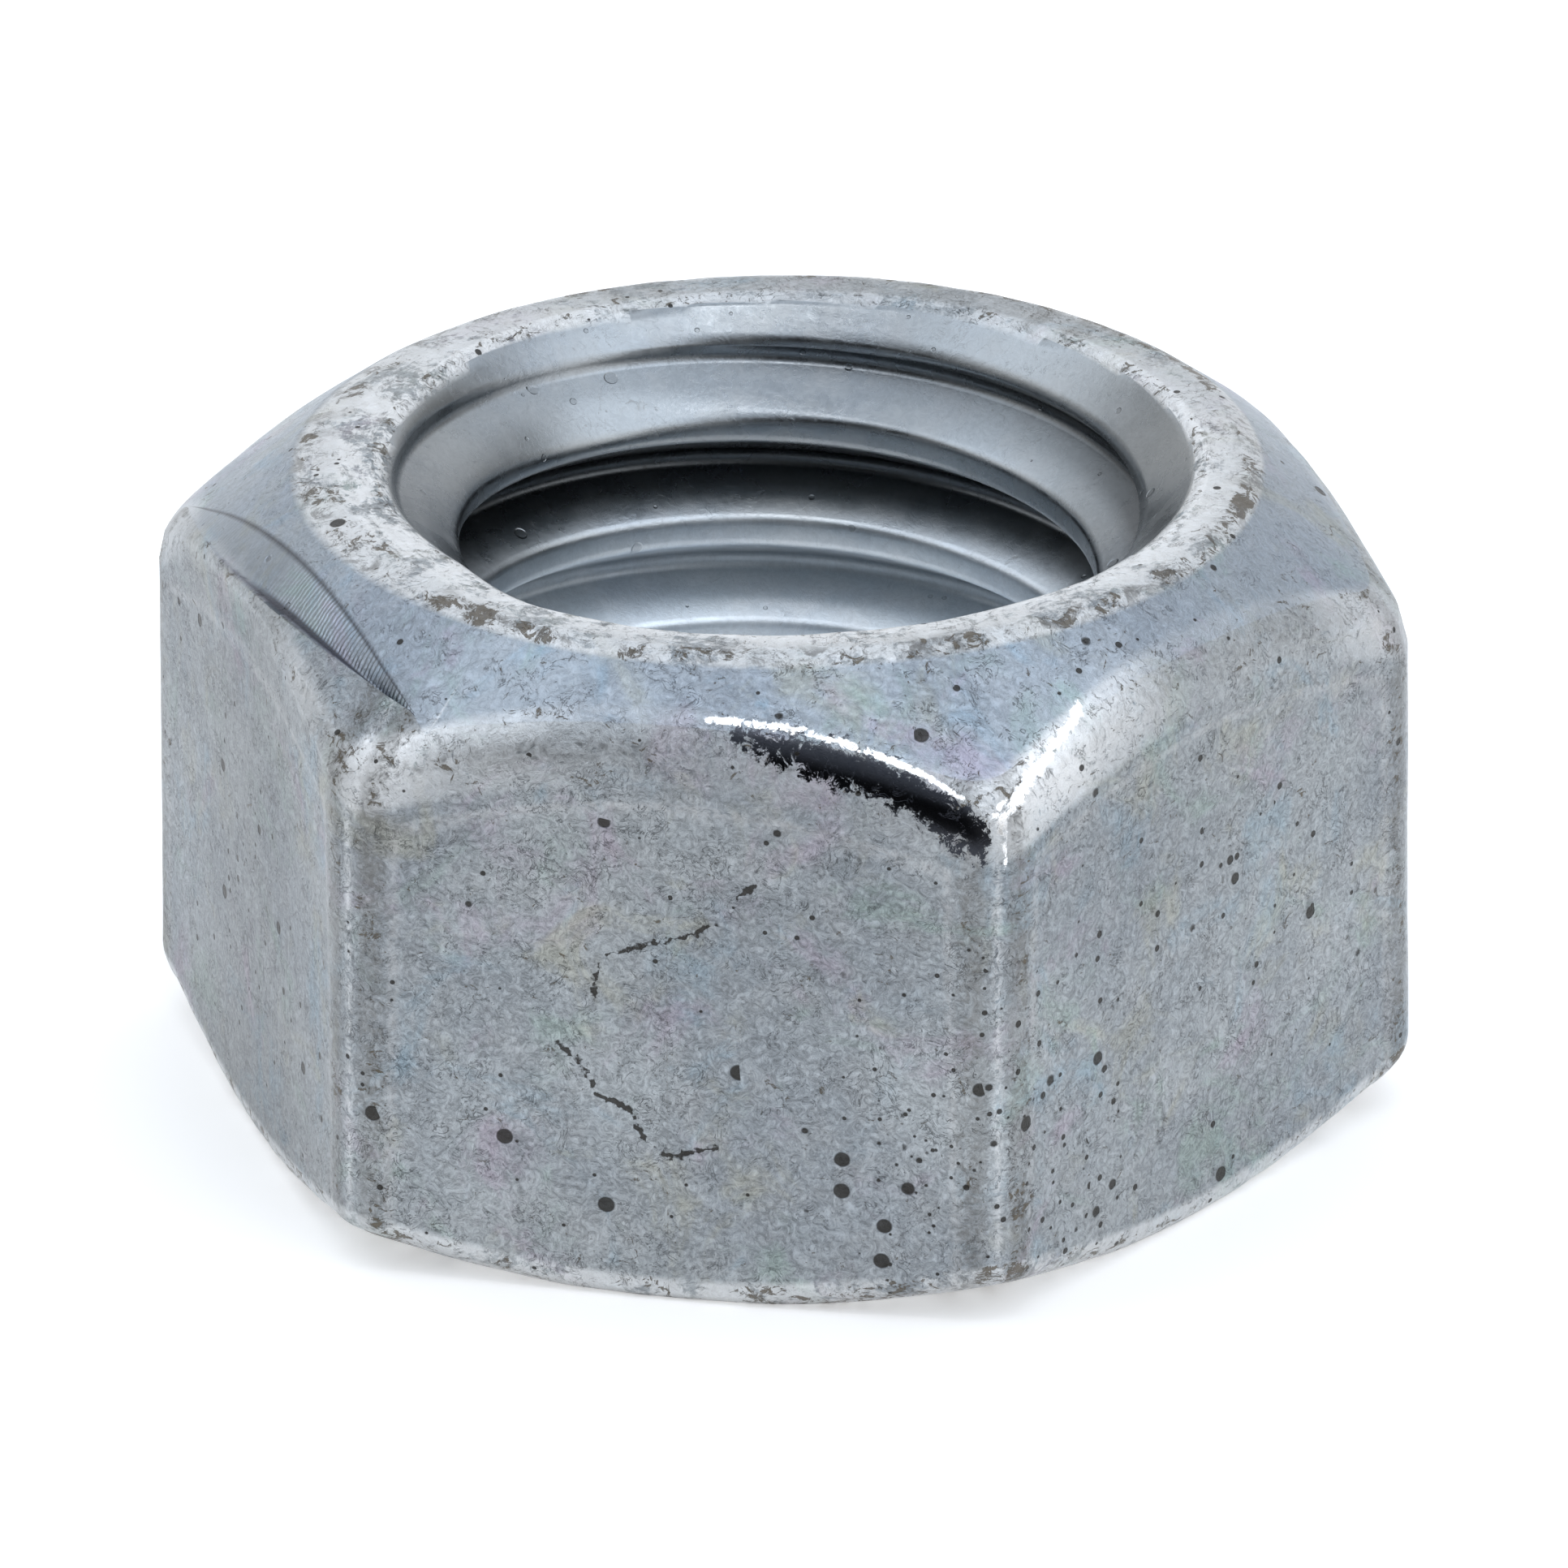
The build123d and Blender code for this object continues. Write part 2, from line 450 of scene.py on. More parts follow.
def outer_rows(angle):
    """Radius, height and kind of every row of the outside."""
    rows = foot_rows(angle) + side_rows(angle) + chamfer_rows(angle) + land_rows(angle)
    radius, level, kinds = zip(*rows)
    return np.array(radius), np.array(level), np.array(kinds)


# --- rows of the bore ---

def thread_rows():
    """One pitch of the thread: offsets from the groove's middle and radii, from crest to crest."""
    floor = PITCH / 16
    half_mouth = floor + (ROOT - CREST) * math.tan(math.radians(30))
    crest_soft, root_soft = 0.13, 0.10

    def flank(distance):
        return half_mouth - distance * math.cos(FLANK), CREST + distance * math.sin(FLANK)

    crest_end = -half_mouth - crest_soft
    flank_level, flank_radius = flank(crest_soft)
    points = [(-PITCH / 2 + 0.03, CREST), (crest_end, CREST)]
    for t in (0.33, 0.67):
        level = arc_point(crest_end, -half_mouth, -flank_level, t)
        points.append((level, arc_point(CREST, CREST, flank_radius, t)))
    length = (ROOT - CREST) / math.sin(FLANK)
    for distance in np.linspace(crest_soft, length - root_soft, 4):
        level, radius = flank(distance)
        points.append((-level, radius))
    points += [(-floor, ROOT - 0.02), (0, ROOT)]
    mirrored = [(-level, radius) for level, radius in points[1:-1]][::-1]
    return points + mirrored


def bore_rows(angle):
    """Radius and height of the bore's rows, which climb with the thread up to the countersinks' lips."""
    turn = angle / (2 * math.pi)
    bottom_rim, top_rim = sink_rim(angle, False), sink_rim(angle, True)
    radii, levels = [], []
    for index in range(THREAD_FROM, THREAD_TO):
        for offset, radius in thread_rows():
            level = GROOVE_LEVEL + index * PITCH + offset + PITCH * turn
            level = np.clip(level, LIP_LEG, HEIGHT - LIP_LEG)
            cone = np.maximum(bottom_rim - level, top_rim - (HEIGHT - level))
            at_lip = (level <= LIP_LEG + 1e-9) | (level >= HEIGHT - LIP_LEG - 1e-9)
            radii.append(np.where(at_lip, cone, smooth_max(radius, cone, 0.10)))
            levels.append(level)
    return np.array(radii), np.array(levels)


# --- grids ---

def grid_faces(rows, columns, shift):
    """Corners of the quads of a grid closed round the axis, as (row, column) pairs.

    The last column meets the first one `shift` rows further on, and column `columns` stands for the first.
    """
    row, column = np.meshgrid(np.arange(rows - 1), np.arange(columns), indexing="ij")
    row, column = row.ravel(), column.ravel()
    whole = row + 1 + shift * (column == columns - 1) < rows
    row, column = row[whole], column[whole]
    return np.stack([row, row, row + 1, row + 1], -1), np.stack([column, column + 1, column + 1, column], -1)


def mean_run(radius, level):
    """Length along the rows, averaged round the axis."""
    steps = np.hypot(np.diff(radius, axis=0), np.diff(level, axis=0)).mean(1)
    return np.append(0, np.cumsum(steps))


def outside_faces(angle, radius, level):
    """Quads of the outside and their corners' places on the unwrapped surface."""
    rows, columns = radius.shape
    row, column = grid_faces(rows, columns, 0)
    second = (column.min(1) >= columns // 2)[:, None]
    closed = np.append(angle, math.pi)
    u = (closed[column] + math.pi * (1 - second)) / math.pi * STRIP_LENGTH + UV_MARGIN
    v = mean_run(radius, level)[row] + UV_MARGIN + SECOND_STRIP * second
    return row * columns + column % columns, np.stack([u, v], -1) / UV_SPAN


def bore_faces(angle, radius, level, first_point):
    """The same for the bore, whose rows have climbed one pitch after a turn."""
    rows, columns = radius.shape
    row, column = grid_faces(rows, columns, len(thread_rows()))
    climbed = row + len(thread_rows()) * (column == columns)
    steps = mean_run(radius, level)
    closed = np.append(angle, math.pi)
    u = (closed[column] + math.pi) / (2 * math.pi) * STRIP_LENGTH + UV_MARGIN
    v = BORE_STRIP + steps[row] / steps[-1] * BORE_STRIP_WIDTH
    quads = climbed * columns + column % columns + first_point
    return quads[:, ::-1], np.stack([u, v], -1)[:, ::-1] / UV_SPAN


def shared_places(points):
    """The first point at each place, and each point's place: strips that meet have points in common."""
    key = np.round(points / 1e-5).astype(np.int64)
    _, first, place = np.unique(key, axis=0, return_index=True, return_inverse=True)
    return first, place.ravel()


def vertex_normals(points, quads, place):
    """Unit normals, the same for all points that share a place."""
    a, b, c, d = (points[quads[:, k]] for k in range(4))
    normal = np.cross(c - a, d - b)
    total = np.zeros((place.max() + 1, 3))
    for k in range(4):
        np.add.at(total, place[quads[:, k]], normal)
    return (total / np.maximum(np.linalg.norm(total, axis=1)[:, None], 1e-12))[place]


def shared_most(values, place):
    """The largest of the values at each place, given back to all its points."""
    most = np.zeros(place.max() + 1)
    np.maximum.at(most, place, values)
    return most[place]


# --- marks that the material reads from the vertices ---

def edge_marks(angle, radius, level):
    """The painted highlights (glints) and the painted dark reflection band, measured down from the end of the
    top chamfer.
    """
    turn = np.degrees(angle)
    below = cone_height(chamfer_end(angle)) - level
    around = np.broadcast_to(angle * GLINT_RADIUS, below.shape)
    spots = np.stack([around, below], -1).reshape(-1, 2)
    glint = np.full(below.shape, -1.0)
    for half_width, line in GLINTS:
        line = [(math.radians(direction) * GLINT_RADIUS, down) for direction, down in line]
        off, over = line_distance(spots, line)
        share = 1 - np.maximum(np.abs(off), over).reshape(below.shape) / half_width
        glint = np.maximum(glint, share)
    directions, starts, ends = np.array(BAND).T
    start, end = np.interp(turn, directions, starts), np.interp(turn, directions, ends)
    band = np.clip(np.minimum(below - start, end - below), OFF_BAND, 0.5)
    band[:, (turn < directions[0]) | (turn > directions[-1])] = OFF_BAND
    band[level < HEIGHT / 2] = OFF_BAND
    return glint, band


def brink_marks(kinds, inside, along, shape):
    """Painted shade: dark lines in the creases along the die mark's two long sides."""
    mark_rows, wall_rows = np.flatnonzero(kinds == "mark"), np.flatnonzero(kinds == "wall")
    brink = np.zeros(shape)
    brink[mark_rows[0]] = brink[wall_rows[-1]] = inside * smoothstep(-1.5, 1.0, along)
    brink[mark_rows[-1]] = 0.8 * inside
    return brink


def pitted_marks(turn, level):
    pitted = np.zeros_like(level)
    for direction, height, wide, tall, amount in PITTED:
        away = (turn - direction + 180) % 360 - 180
        pitted += amount * np.exp(-((away / wide) ** 2)) * np.exp(-(((level - height) / tall) ** 2))
    return pitted


def outside_marks(angle, radius, level, kinds, panel):
    """Marks of the outside, each a grid like the radius."""
    turn = np.degrees(angle)
    everywhere = np.ones(len(angle))
    upper = level > HEIGHT / 2
    _, _, along, past = lens(angle)
    inside = 1 - smoothstep(0.0, 0.03, past)
    edge_start, (_, edge_end) = chamfer_end(angle), top_side(angle)
    rounded = smoothstep(edge_start - 0.10, edge_start + 0.08, radius) * upper
    rounded = rounded * smoothstep(edge_end - 0.15, edge_end + 0.12, level)
    land_out = smoothstep(TOP_LAND - 0.75, TOP_LAND + 0.05, radius) * upper
    land = np.outer([WHITE_LAND.get(kind, 0.0) for kind in kinds], 1 - 0.9 * patches(turn, GREY_LAND))
    cone = np.outer(np.isin(kinds, ["cone", "mark", "wall"]), everywhere)
    near_edge = np.exp(-(((radius - TOP_LAND) / 0.20) ** 2)) * upper
    glint, band = edge_marks(angle, radius, level)
    return {
        "worn": np.maximum(np.outer([WORN.get(kind, 0.0) for kind in kinds], everywhere), 0.5 * rounded),
        "land": land * (1 - 0.42 * land_out * (0.35 + 0.65 * patches(turn, GREY_LAND_OUT))),
        "cone": cone,
        "foot": np.outer([FOOT_WEAR_AND_REFLECTION.get(kind, 0.0) for kind in kinds], everywhere),
        "dent": np.outer(kinds == "mark", inside),
        "wall": np.outer(kinds == "wall", mark_depth(along, past) / WALL_DEPTH),
        "brink": brink_marks(kinds, inside, along, level.shape),
        "panel": panel,
        "bright": rounded * patches(turn, EDGE_WEAR_AND_HIGHLIGHT),
        "glint": glint,
        "band": band,
        "shoulder": near_edge * np.isin(kinds, ["land", "land_edge", "cone"])[:, None],
        "pitted": pitted_marks(turn, level) * (1 - 0.8 * cone),
        "flat_shade": np.outer(np.isin(kinds, ["side", "foot_edge"]), patches(turn, SHADED_FLATS)),
        "corner": radius * np.radians((turn + 30) % 60 - 30),
        "bore": np.zeros_like(level),
        "deep": np.zeros_like(level),
    }


def bore_marks(radius, level):
    """Marks of the bore, where they differ from 0."""
    sunk = np.minimum(radius - CREST, radius - (SINK - (HEIGHT - level)))
    return {
        "corner": np.full_like(level, 9.0),
        "glint": np.full_like(level, OFF_BAND),
        "band": np.full_like(level, OFF_BAND),
        "bore": np.ones_like(level),
        # how far into a thread groove a point lies, read by the material as painted shade
        "deep": smoothstep(0.2, 0.8, sunk),
    }


def lap_marks(points):
    """Distance from each lap and past its ends."""
    marks = {}
    behind = points[:, 1] > LAPS_UP_TO_Y
    for index, line in enumerate(LAPS):
        away, beyond = line_distance(points[:, [0, 2]], line)
        marks[f"lap_{index}"] = np.where(behind, FAR, away)
        marks[f"lap_end_{index}"] = np.where(behind, FAR, beyond)
    return marks


# --- surface ---

def relief_shares(angle, kinds, band, bore_points):
    """How strongly the broad and the fine relief show at each point. The bore has none."""
    _, _, _, past = lens(angle)
    inside = 1 - smoothstep(0.0, 0.03, past)
    broad = 1 - 0.75 * np.outer(np.isin(kinds, ["mark", "wall"]), inside)
    rough_rows = [1.0 if kind in WORN or kind == "edge" else 0.25 for kind in kinds]
    fine = np.outer(rough_rows, np.ones(len(angle))) * (1 - 0.85 * smoothstep(-0.1, 0.1, band))
    none = np.zeros(bore_points)
    return np.append(broad, none), np.append(fine, none)


def roughened(points, quads, place, broad_share, fine_share):
    """The points moved in and out by the random relief."""
    broad, middle, fine = Waves(*BROAD_WAVES), Waves(*MIDDLE_WAVES), Waves(*FINE_WAVES)
    broad_share, fine_share = shared_most(broad_share, place), shared_most(fine_share, place)
    push = broad_share * (BROAD_HEIGHT * broad(points) + MIDDLE_HEIGHT * middle(points) - SHRINK)
    push = push + fine_share * FINE_HEIGHT * fine(points)
    return points + vertex_normals(points, quads, place) * push[:, None]


def body_surface():
    """Points, quads, the quads' places on the unwrapped surface and the marks of the whole nut, then the
    first point at each place and each point's place."""
    angle = graded_angles()
    radius, level, kinds = outer_rows(angle)
    panel = np.array([panel_relief(angle, row) for row in level])
    panel *= np.isin(kinds, ["side", "edge", "foot_edge"])[:, None]
    radius = radius - PANEL_DEPTH * panel
    bore_radius, bore_level = bore_rows(angle)

    def points_at(r, z):
        return np.stack([r * np.cos(angle), r * np.sin(angle), z], -1).reshape(-1, 3)

    points = np.concatenate([points_at(radius, level), points_at(bore_radius, bore_level)])
    faces = outside_faces(angle, radius, level), bore_faces(angle, bore_radius, bore_level, radius.size)
    quads, unwrapped = (np.concatenate(parts) for parts in zip(*faces))
    marks = outside_marks(angle, radius, level, kinds, panel)
    shares = relief_shares(angle, kinds, marks["band"], bore_radius.size)
    in_bore, none = bore_marks(bore_radius, bore_level), np.zeros(bore_radius.size)
    marks = {name: np.append(value, in_bore.get(name, none)) for name, value in marks.items()}
    first, place = shared_places(points)
    points = roughened(points, quads, place, *shares)
    marks.update(lap_marks(points))
    return points, quads, unwrapped, marks, first, place


def make_body():
    points, quads, unwrapped, marks, first, place = body_surface()
    faces, uvs = [], []
    for face, spots in zip(place[quads].tolist(), unwrapped.tolist()):
        kept = [k for k in range(4) if face[k] != face[k - 1]]
        if len({face[k] for k in kept}) < 3:
            continue
        faces.append([face[k] for k in kept])
        uvs.extend(spots[k] for k in kept)
    mesh = bpy.data.meshes.new(NODE + "_looks")
    mesh.from_pydata((points[first] * MM).tolist(), [], faces)
    layer = mesh.uv_layers.new(name="OFBake")
    layer.data.foreach_set("uv", np.array(uvs, float).ravel())
    for name, value in marks.items():
        attribute = mesh.attributes.new(name, "FLOAT", "POINT")
        attribute.data.foreach_set("value", value[first].astype(np.float32))
    mesh.shade_smooth()
    mesh.validate()
    body = bpy.data.objects.new("hex_nut", mesh)
    bpy.context.scene.collection.objects.link(body)
    return body


# --- shader nodes ---

class Value:
    """A number in a shader. Adding, subtracting and multiplying make its Math nodes."""

    def __init__(self, shader, socket):
        self.shader, self.socket = shader, socket

    def __add__(self, other):
        return self.shader.math("ADD", self, other)

    def __radd__(self, other):
        return self.shader.math("ADD", other, self)

    def __sub__(self, other):
        return self.shader.math("SUBTRACT", self, other)

    def __rsub__(self, other):
        return self.shader.math("SUBTRACT", other, self)

    def __mul__(self, other):
        return self.shader.math("MULTIPLY", self, other)

    def __abs__(self):
        return self.shader.math("ABSOLUTE", self)


class Shader:
    """Short names for the nodes of one material or world."""

    def __init__(self, owner):
        owner.use_nodes = True
        self.tree = owner.node_tree
        self.tree.nodes.clear()

    def node(self, kind, inputs=None, **settings):
        made = self.tree.nodes.new(kind)
        for key, value in settings.items():
            setattr(made, key, value)
        for key, value in (inputs or {}).items():
            self.feed(made.inputs[key], value)
        return made

    def feed(self, socket, value):
        if isinstance(value, Value):
            value = value.socket
        if isinstance(value, bpy.types.NodeSocket):
            self.tree.links.new(value, socket)
        else:
            socket.default_value = value

    def math(self, operation, *values, clamp=False):
        made = self.node("ShaderNodeMath", dict(enumerate(values)), operation=operation, use_clamp=clamp)
        return Value(self, made.outputs[0])

    def most(self, a, b):
        return self.math("MAXIMUM", a, b)

    def vector(self, operation, *values):
        return self.node("ShaderNodeVectorMath", dict(enumerate(values)), operation=operation).outputs[0]

    def measure(self, operation, *values):
        """A vector operation whose result is a number."""
        made = self.node("ShaderNodeVectorMath", dict(enumerate(values)), operation=operation)
        return Value(self, made.outputs[1])

    def axes(self, vector):
        made = self.node("ShaderNodeSeparateXYZ", {"Vector": vector})
        return [Value(self, output) for output in made.outputs]

    def mark(self, name):
        return Value(self, self.node("ShaderNodeAttribute", attribute_name=name).outputs["Fac"])

    def noise(self, vector, scale, detail=3.0, rough=0.55, warp=0.0):
        made = self.node("ShaderNodeTexNoise", {"Vector": vector, "Scale": scale, "Detail": detail,
                                                "Roughness": rough, "Distortion": warp})
        return Value(self, made.outputs["Fac"])

    def ramp(self, value, low, high, to_low=0.0, to_high=1.0):
        made = self.node("ShaderNodeMapRange", {"Value": value, "From Min": low, "From Max": high,
                                                "To Min": to_low, "To Max": to_high},
                         interpolation_type="SMOOTHSTEP", clamp=True)
        return Value(self, made.outputs["Result"])

    def mix(self, share, a, b, blend="MIX"):
        made = self.node("ShaderNodeMix", {0: share, 6: a, 7: b}, data_type="RGBA", blend_type=blend)
        return made.outputs[2]

    def scaled(self, colour, factor):
        return self.node("ShaderNodeVectorMath", {0: colour, "Scale": factor}, operation="SCALE").outputs[0]


# --- zinc ---

MARKS = ("worn", "land", "dent", "wall", "bore", "panel", "cone", "foot", "bright", "glint", "band", "pitted",
         "corner", "flat_shade", "brink", "shoulder", "deep")
# base colours
ZINC = (0.370, 0.395, 0.412, 1)
ZINC_DARKER = (0.340, 0.370, 0.400, 1)
ZINC_PATCH = (0.43, 0.445, 0.46, 1)
# painted reflection: blue tint of the top chamfer, standing for the bluish overhead light it reflects
CHAMFER_REFLECTION_TINT = (0.955, 1.0, 1.07, 1)
RUBBED_AND_HIGHLIGHT = (0.83, 0.84, 0.85, 1)
# painted highlight: the white of the glints on the top edge
PAINTED_HIGHLIGHT = (0.97, 0.98, 0.99, 1)
PANEL_BORDER = (0.56, 0.55, 0.55, 1)
# a darker band beside each corner of the flats
CORNER_DARKENING = (0.15, 0.145, 0.135, 1)
RESIDUE = (0.115, 0.095, 0.068, 1)
SMUDGE = (0.16, 0.155, 0.15, 1)
# painted shade: dark violet-grey of the die mark's inner wall
MARK_WALL_SHADE = (0.15, 0.145, 0.20, 1)
# painted shade: dark lines in the creases along the die mark's sides
MARK_CREASE_SHADE = (0.035, 0.035, 0.045, 1)
# painted reflection: the black of the dark band under the first glint
PAINTED_DARK_REFLECTION = (0.022, 0.024, 0.032, 1)
HOLE = (0.035, 0.032, 0.028, 1)
# faint rainbow of the passivation: tint, scale, strength
RAINBOW = (((0.46, 0.35, 0.45, 1), 0.42, 0.40), ((0.28, 0.41, 0.50, 1), 0.50, 0.45),
           ((0.45, 0.43, 0.31, 1), 0.55, 0.36), ((0.31, 0.44, 0.36, 1), 0.47, 0.36))
# gas pits: cells per millimetre, smallest radius, how much larger some are, shift between the sets
PIT_SETS = ((1.8, 0.11, 0.17, 0.0), (3.9, 0.12, 0.16, 7.7))
PRESS_CENTRE = (-2.5, -10.7, 10.0)  # centre of the fine arcs that the press tool left in the die mark
BUMP_HEIGHT = 0.00004


class Zinc(Shader):
    """Worn bright zinc on forged steel. Noise is sampled in millimetres."""

    def __init__(self):
        self.material = bpy.data.materials.new("bright_zinc")
        super().__init__(self.material)
        place = self.node("ShaderNodeTexCoord").outputs["Object"]
        self.mm = self.vector("MULTIPLY", place, (1000.0, 1000.0, 1000.0))
        self.x, self.y, self.z = self.axes(self.mm)
        self.marks = m = {name: self.mark(name) for name in MARKS}
        self.broad = self.noise(self.mm, 0.28, 3.0, 0.5)
        self.patchy = self.noise(self.mm, 1.3, 4.0, 0.6)
        self.fine = self.noise(self.mm, 4.6, 5.0, 0.74, 2.2)
        self.scuff = self.noise(self.mm, 3.6, 5.0, 0.74, 1.6)
        # the mark's floor and the bore are cleaner than the skin
        self.calm = self.most(m["dent"] * 0.7, m["bore"] * 0.8)
        self.sides = (1.0 - self.math("ADD", m["cone"], m["land"], clamp=True)) * (1.0 - m["bore"])
        self.off_corner = abs(m["corner"]) + self.ramp(self.scuff, 0.3, 0.7, -0.12, 0.12)
        beside = self.ramp(self.off_corner, 0.12, 0.26) * self.ramp(self.off_corner, 0.75, 0.45)
        self.beside_corner = beside * self.sides

    def offset(self, x, y, z):
        return self.vector("ADD", self.mm, (x, y, z))

    def skin(self):
        """Clean zinc with its patches, rainbow and grain, with painted shade on the flats and in the thread's
        roots, painted light low in the bore and a painted reflection tint on the top chamfer.
        """
        m = self.marks
        colour = self.mix(self.ramp(self.broad, 0.35, 0.65), ZINC, ZINC_DARKER)
        colour = self.mix(self.ramp(self.patchy, 0.42, 0.72, 0.0, 0.5), colour, ZINC_PATCH)
        for index, (tint, scale, strength) in enumerate(RAINBOW):
            where = self.offset(13.7 * index + 3.1, 5.3 * index, 9.9 * index)
            spot = self.noise(where, scale, 5.0, 0.62, 1.0)
            colour = self.mix(self.ramp(spot, 0.54, 0.72, 0.0, strength) * (1.0 - m["bore"]), colour, tint)
        grain = self.noise(self.mm, 20.0, 2.0, 0.65, 0.8)
        drawn = self.noise(self.vector("MULTIPLY", self.mm, (5.0, 5.0, 0.9)), 1.0, 5.0, 0.65, 0.5)
        tone = self.ramp(self.fine, 0.30, 0.68, -0.38, 0.20) + self.ramp(drawn, 0.3, 0.7, -0.05, 0.05)
        tone = tone + self.ramp(grain, 0.35, 0.65, -0.06, 0.06) + 1.0
        even = self.most(self.calm, m["cone"] * 0.45)
        tone = tone * (1.0 - even) + even
        # painted shade: some flats darkened to even out the light on them
        tone = tone * (1.0 - m["flat_shade"] * 0.34)
        # painted shade: the flats darkened towards the top and lightened a little at the bottom, to even out
        # the light on them
        tone = tone * (1.0 + self.sides * self.ramp(self.z, 2.5, 9.0, 0.04, -0.12))
        # painted shade in the thread's roots, and painted light on the flanks low in the bore
        inside = self.ramp(self.z, 8.4, 6.4, -0.12, 1.25) + m["deep"] * -0.60
        tone = tone * (1.0 + m["bore"] * inside)
        # painted reflection: the top chamfer tinted blue like the bluish overhead light it reflects
        return self.mix(m["cone"], self.scaled(colour, tone), CHAMFER_REFLECTION_TINT, "MULTIPLY")

    def wear_and_highlight(self):
        """Share of white rubbed zinc on rims, edges and corners, which also carries painted highlights on the
        top edge and a painted floor reflection on the bottom chamfer.
        """
        m = self.marks
        off_axis = self.math("SQRT", self.x * self.x + self.y * self.y)
        around = {"X": self.x * 0.8, "Y": self.y * 0.8, "Z": off_axis * 2.6}
        around = self.node("ShaderNodeCombineXYZ", around)
        streak = self.noise(around.outputs[0], 1.0, 6.0, 0.78, 1.2)
        coarse = self.noise(self.mm, 0.75, 3.0, 0.6, 0.8)
        ragged = self.ramp(self.scuff * 0.3 + streak * 0.35 + coarse * 0.35, 0.425, 0.505)
        # the bottom chamfer's share is rubbed zinc and also a painted reflection of the white floor
        wear_and_highlight = m["worn"] * 0.35 + m["land"] * 0.95 + m["foot"] * 0.4
        wear_and_highlight = self.math("MULTIPLY", wear_and_highlight, ragged, clamp=True)
        # rubbed patches of the top edge; at -55 and -43 they are also a painted highlight
        wear_and_highlight = self.most(wear_and_highlight, m["bright"] * self.ramp(self.scuff, 0.30, 0.46))
        ridge = self.ramp(self.off_corner, 0.16, 0.04) * self.sides
        return self.most(wear_and_highlight, ridge * self.ramp(self.scuff, 0.42, 0.60, 0.0, 0.55))

    def hairlines(self):
        """Fine lines scratched and wrinkled into the skin."""
        wrinkle = abs(self.noise(self.offset(2, 8, 4), 2.6, 4.0, 0.62, 1.4) - 0.5)
        spread = self.ramp(self.noise(self.offset(7, 2, 9), 1.7, 3.0, 0.6), 0.50, 0.58)
        return self.ramp(wrinkle, 0.016, 0.003) * spread * (1.0 - self.calm)

    def specks(self):
        """Brown-grey residue, thicker on worn metal."""
        m = self.marks
        squat = self.vector("MULTIPLY", self.offset(4, 9, 2), (1.0, 1.0, 1.4))
        speck = self.noise(squat, 3.0, 6.0, 0.78, 1.2)
        near = m["worn"] * 1.5 + self.beside_corner * 1.2 + m["shoulder"] * 0.7
        clump = self.ramp(self.noise(self.offset(1, 6, 3), 0.8, 3.0, 0.6), 0.42, 0.60)
        return self.ramp(speck - (0.632 - near * clump * 0.075), 0.0, 0.03) * (1.0 - self.calm)

    def pits(self):
        """Round gas pits."""
        pits = None
        for scale, small, larger, shift in PIT_SETS:
            where = self.offset(shift, shift, shift)
            cells = self.node("ShaderNodeTexVoronoi", {"Vector": where, "Scale": scale})
            parts = self.node("ShaderNodeSeparateColor", {"Color": cells.outputs["Color"]}).outputs
            chance, size = Value(self, parts[0]), Value(self, parts[1])
            there = self.math("LESS_THAN", chance, 0.06 + self.marks["pitted"] * 0.85)
            wide = small + size * larger
            hole = self.ramp(wide - Value(self, cells.outputs["Distance"]), 0.0, 0.05) * there
            pits = hole if pits is None else self.most(pits, hole)
        return pits * (1.0 - self.calm)

    def laps(self):
        """Forging laps: ragged dark hairlines in the front flat."""
        wobble = (self.noise(self.mm, 9.0, 2.0, 0.6) - 0.5) * 0.20
        width = self.ramp(self.noise(self.mm, 3.3, 2.0, 0.7), 0.36, 0.64, -0.012, 0.062)
        laps = None
        for index in range(len(LAPS)):
            away = self.most(abs(self.mark(f"lap_{index}") + wobble), self.mark(f"lap_end_{index}"))
            dark = self.ramp(width - away, -0.008, 0.018)
            laps = dark if laps is None else self.most(laps, dark)
        return laps

    def height(self, specks, hairs, gloss, holes):
        """Fine relief for the bump: grain, scuffs, specks and holes, and the arcs in the die mark."""
        m = self.marks
        height = (self.fine - 0.5) * 0.8 * self.ramp(self.broad, 0.38, 0.62, 0.45, 1.0)
        height = height + (self.scuff - 0.5) * (0.35 + m["land"] * 1.1)
        height = height - (specks + hairs) * 0.5
        height = height * (1.0 - self.most(gloss * 0.93, self.calm))
        from_tool = self.measure("DISTANCE", self.mm, PRESS_CENTRE)
        arcs = self.math("SINE", (from_tool + self.patchy * 0.25) * 62.0)
        height = height + arcs * m["dent"] * self.ramp(from_tool, 8.5, 5.0, 0.02, 0.16)
        return height - holes * 1.4

    def build(self):
        m = self.marks
        wear_and_highlight, hairs, specks = self.wear_and_highlight(), self.hairlines(), self.specks()
        # rubbed zinc, with painted highlights on the top edge and a painted floor reflection on the bottom
        # chamfer
        colour = self.mix(wear_and_highlight, self.skin(), RUBBED_AND_HIGHLIGHT)
        # a darker band beside each corner of the flats
        corner_darkening = self.beside_corner * self.ramp(self.scuff, 0.34, 0.60, 0.62, 0.22)
        colour = self.mix(corner_darkening, colour, CORNER_DARKENING)
        border = m["panel"] * (1.0 - m["panel"]) * 4.0 * self.ramp(self.scuff, 0.38, 0.55)
        colour = self.mix(border * 0.28, colour, PANEL_BORDER)
        colour = self.scaled(colour, 1.0 - hairs * 0.42)
        colour = self.mix(specks * 0.85, colour, RESIDUE)
        smudge = self.ramp(self.noise(self.offset(9, 1, 5), 1.5, 6.0, 0.80, 1.2), 0.50, 0.60, 0.0, 0.75)
        colour = self.mix(smudge * m["shoulder"], colour, SMUDGE)
        # painted shade on the die mark's inner wall
        colour = self.mix(m["wall"] * 0.85, colour, MARK_WALL_SHADE)
